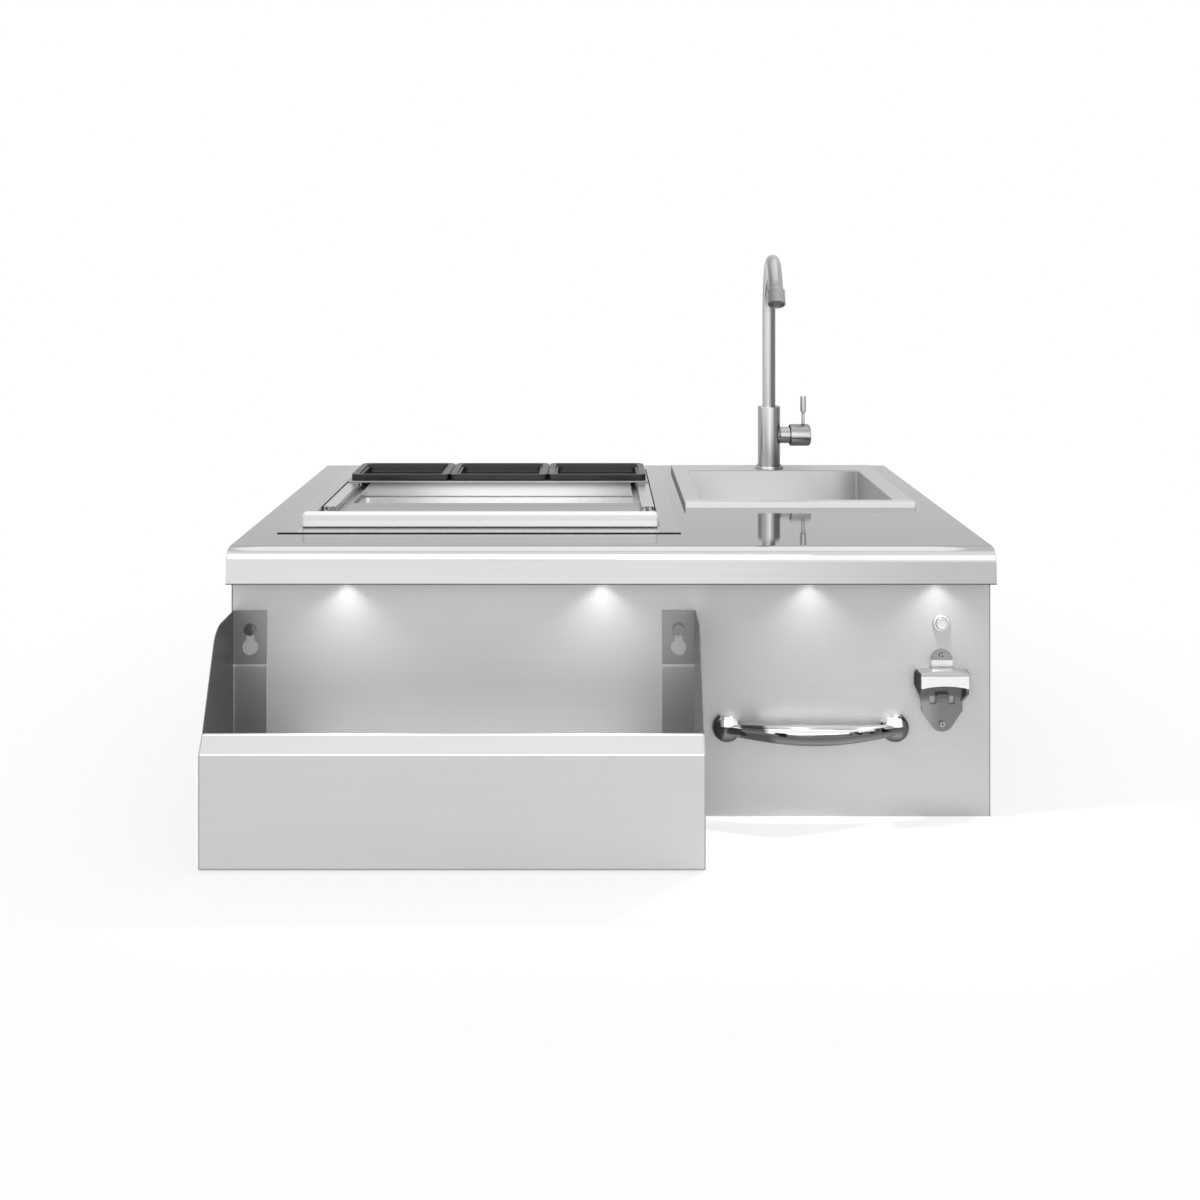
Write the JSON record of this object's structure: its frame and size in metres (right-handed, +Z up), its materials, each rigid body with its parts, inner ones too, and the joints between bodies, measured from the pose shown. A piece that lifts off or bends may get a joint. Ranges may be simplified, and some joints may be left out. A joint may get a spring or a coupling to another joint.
{
  "type": "bar sink with ice bin",
  "caption": "Drop-in stainless bar centre: insulated ice bin with sliding lid and trays, small sink with swivel tap, bottle rail, bow handle and bottle opener.",
  "frame": {"origin": "middle of the cabinet's underside, half the worktop's depth behind the apron's front", "axes": "+X to the right seen from the front, +Y to the back, +Z up"},
  "size_m": [1.067, 0.733, 0.785],
  "materials": {
    "worktop_steel": "polished with a fine brush along the width",
    "panel_steel": "brushed along the width",
    "bin_steel": "bright satin",
    "lid_steel": "brushed along the width",
    "sink_steel": "matte satin",
    "drain_steel": "satin",
    "tap_steel": "turned and brushed satin",
    "rail_steel": "brushed along the width",
    "opener_steel": "polished casting",
    "fastener_steel": "bright turned",
    "chrome": "mirror chrome",
    "button_metal": "bright turned",
    "tray_plastic": "black moulded, slightly glossy",
    "carrier_steel": "satin",
    "black_plastic": "black moulded",
    "brass": "raw turned brass",
    "copper": "drawn copper tube",
    "foam": "moulded foam",
    "rubber": "matte black rubber",
    "lamp_metal": "bright turned",
    "lamp_lens": "frosted white lens"
  },
  "bodies": {
    "cabinet": {"worktop": "worktop_steel", "front_panel": "panel_steel", "left_side": "panel_steel", "right_side": "panel_steel", "back_panel": "panel_steel", "bottom_pan": "panel_steel", "ice_bin": "bin_steel", "runners": "bin_steel", "runner_rivets": "bin_steel", "sink_bowl": "sink_steel", "bin_drain": "drain_steel", "strainer_body": "drain_steel", "sink_tailpiece": "drain_steel", "sink_clips": "drain_steel", "tap_ring": "tap_steel", "tap_body": "tap_steel", "valve_neck": "tap_steel", "bottle_opener": "opener_steel", "rail_studs": "fastener_steel", "opener_screws": "fastener_steel", "handle_nuts": "fastener_steel", "button_nut": "fastener_steel", "handle_bar": "chrome", "handle_rosettes": "chrome", "button_bezel": "button_metal", "bin_drain_nut": "black_plastic", "strainer_nut": "black_plastic", "lamp_driver": "black_plastic", "tap_shank": "brass", "tap_nut": "brass", "supply_tails": "copper", "bin_foam": "foam", "cable_grommet": "rubber", "lamp_housings": "lamp_metal", "lamp_lenses": "lamp_lens"},
    "lid": {"lid_sheet": "lid_steel", "lid_bar": "lid_steel"},
    "carrier": {"tray_carrier": "carrier_steel"},
    "left_tray": {"tray_left": "tray_plastic"},
    "centre_tray": {"tray_centre": "tray_plastic"},
    "right_tray": {"tray_right": "tray_plastic"},
    "basket": {"strainer_basket": "drain_steel"},
    "valve": {"valve_stem": "tap_steel"},
    "lever": {"lever_hub": "tap_steel", "lever_rod": "tap_steel"},
    "spout": {"spout_tube": "tap_steel", "spout_bend": "tap_steel", "aerator": "tap_steel"},
    "bottle_rail": {"rail_trough": "rail_steel", "rail_bracket_left": "rail_steel", "rail_bracket_right": "rail_steel"},
    "button": {"button_cap": "button_metal"}
  },
  "joints": [
    {"name": "lid_slide", "type": "slide", "parent": "cabinet", "child": "lid", "axis": [0, 1, 0], "range_m": [0, 0.23]},
    {"name": "carrier_lift", "type": "slide", "parent": "cabinet", "child": "carrier", "axis": [0, 0, 1], "range_m": [0, 0.1]},
    {"name": "left_tray_lift", "type": "slide", "parent": "carrier", "child": "left_tray", "axis": [0, 0, 1], "range_m": [0, 0.05]},
    {"name": "centre_tray_lift", "type": "slide", "parent": "carrier", "child": "centre_tray", "axis": [0, 0, 1], "range_m": [0, 0.05]},
    {"name": "right_tray_lift", "type": "slide", "parent": "carrier", "child": "right_tray", "axis": [0, 0, 1], "range_m": [0, 0.05]},
    {"name": "basket_lift", "type": "slide", "parent": "cabinet", "child": "basket", "axis": [0, 0, 1], "range_m": [0, 0.06]},
    {"name": "lever_turn", "type": "hinge", "parent": "cabinet", "child": "valve", "pos_m": [0.347, 0.2375, 0.4502], "axis": [1, 0, 0], "range_deg": [-40, 40]},
    {"name": "lever_tilt", "type": "hinge", "parent": "valve", "child": "lever", "pos_m": [0.347, 0.2375, 0.4502], "axis": [0, 1, 0], "range_deg": [0, 15]},
    {"name": "spout_swivel", "type": "hinge", "parent": "cabinet", "child": "spout", "pos_m": [0.302, 0.2375, 0.48], "axis": [0, 0, 1], "continuous": true},
    {"name": "rail_lift", "type": "slide", "parent": "cabinet", "child": "bottle_rail", "axis": [0, 0, 1], "range_m": [0, 0.0255]},
    {"name": "button_press", "type": "slide", "parent": "cabinet", "child": "button", "axis": [0, 1, 0], "range_m": [0, 0.003], "stiffness_N_per_m": 600}
  ]
}
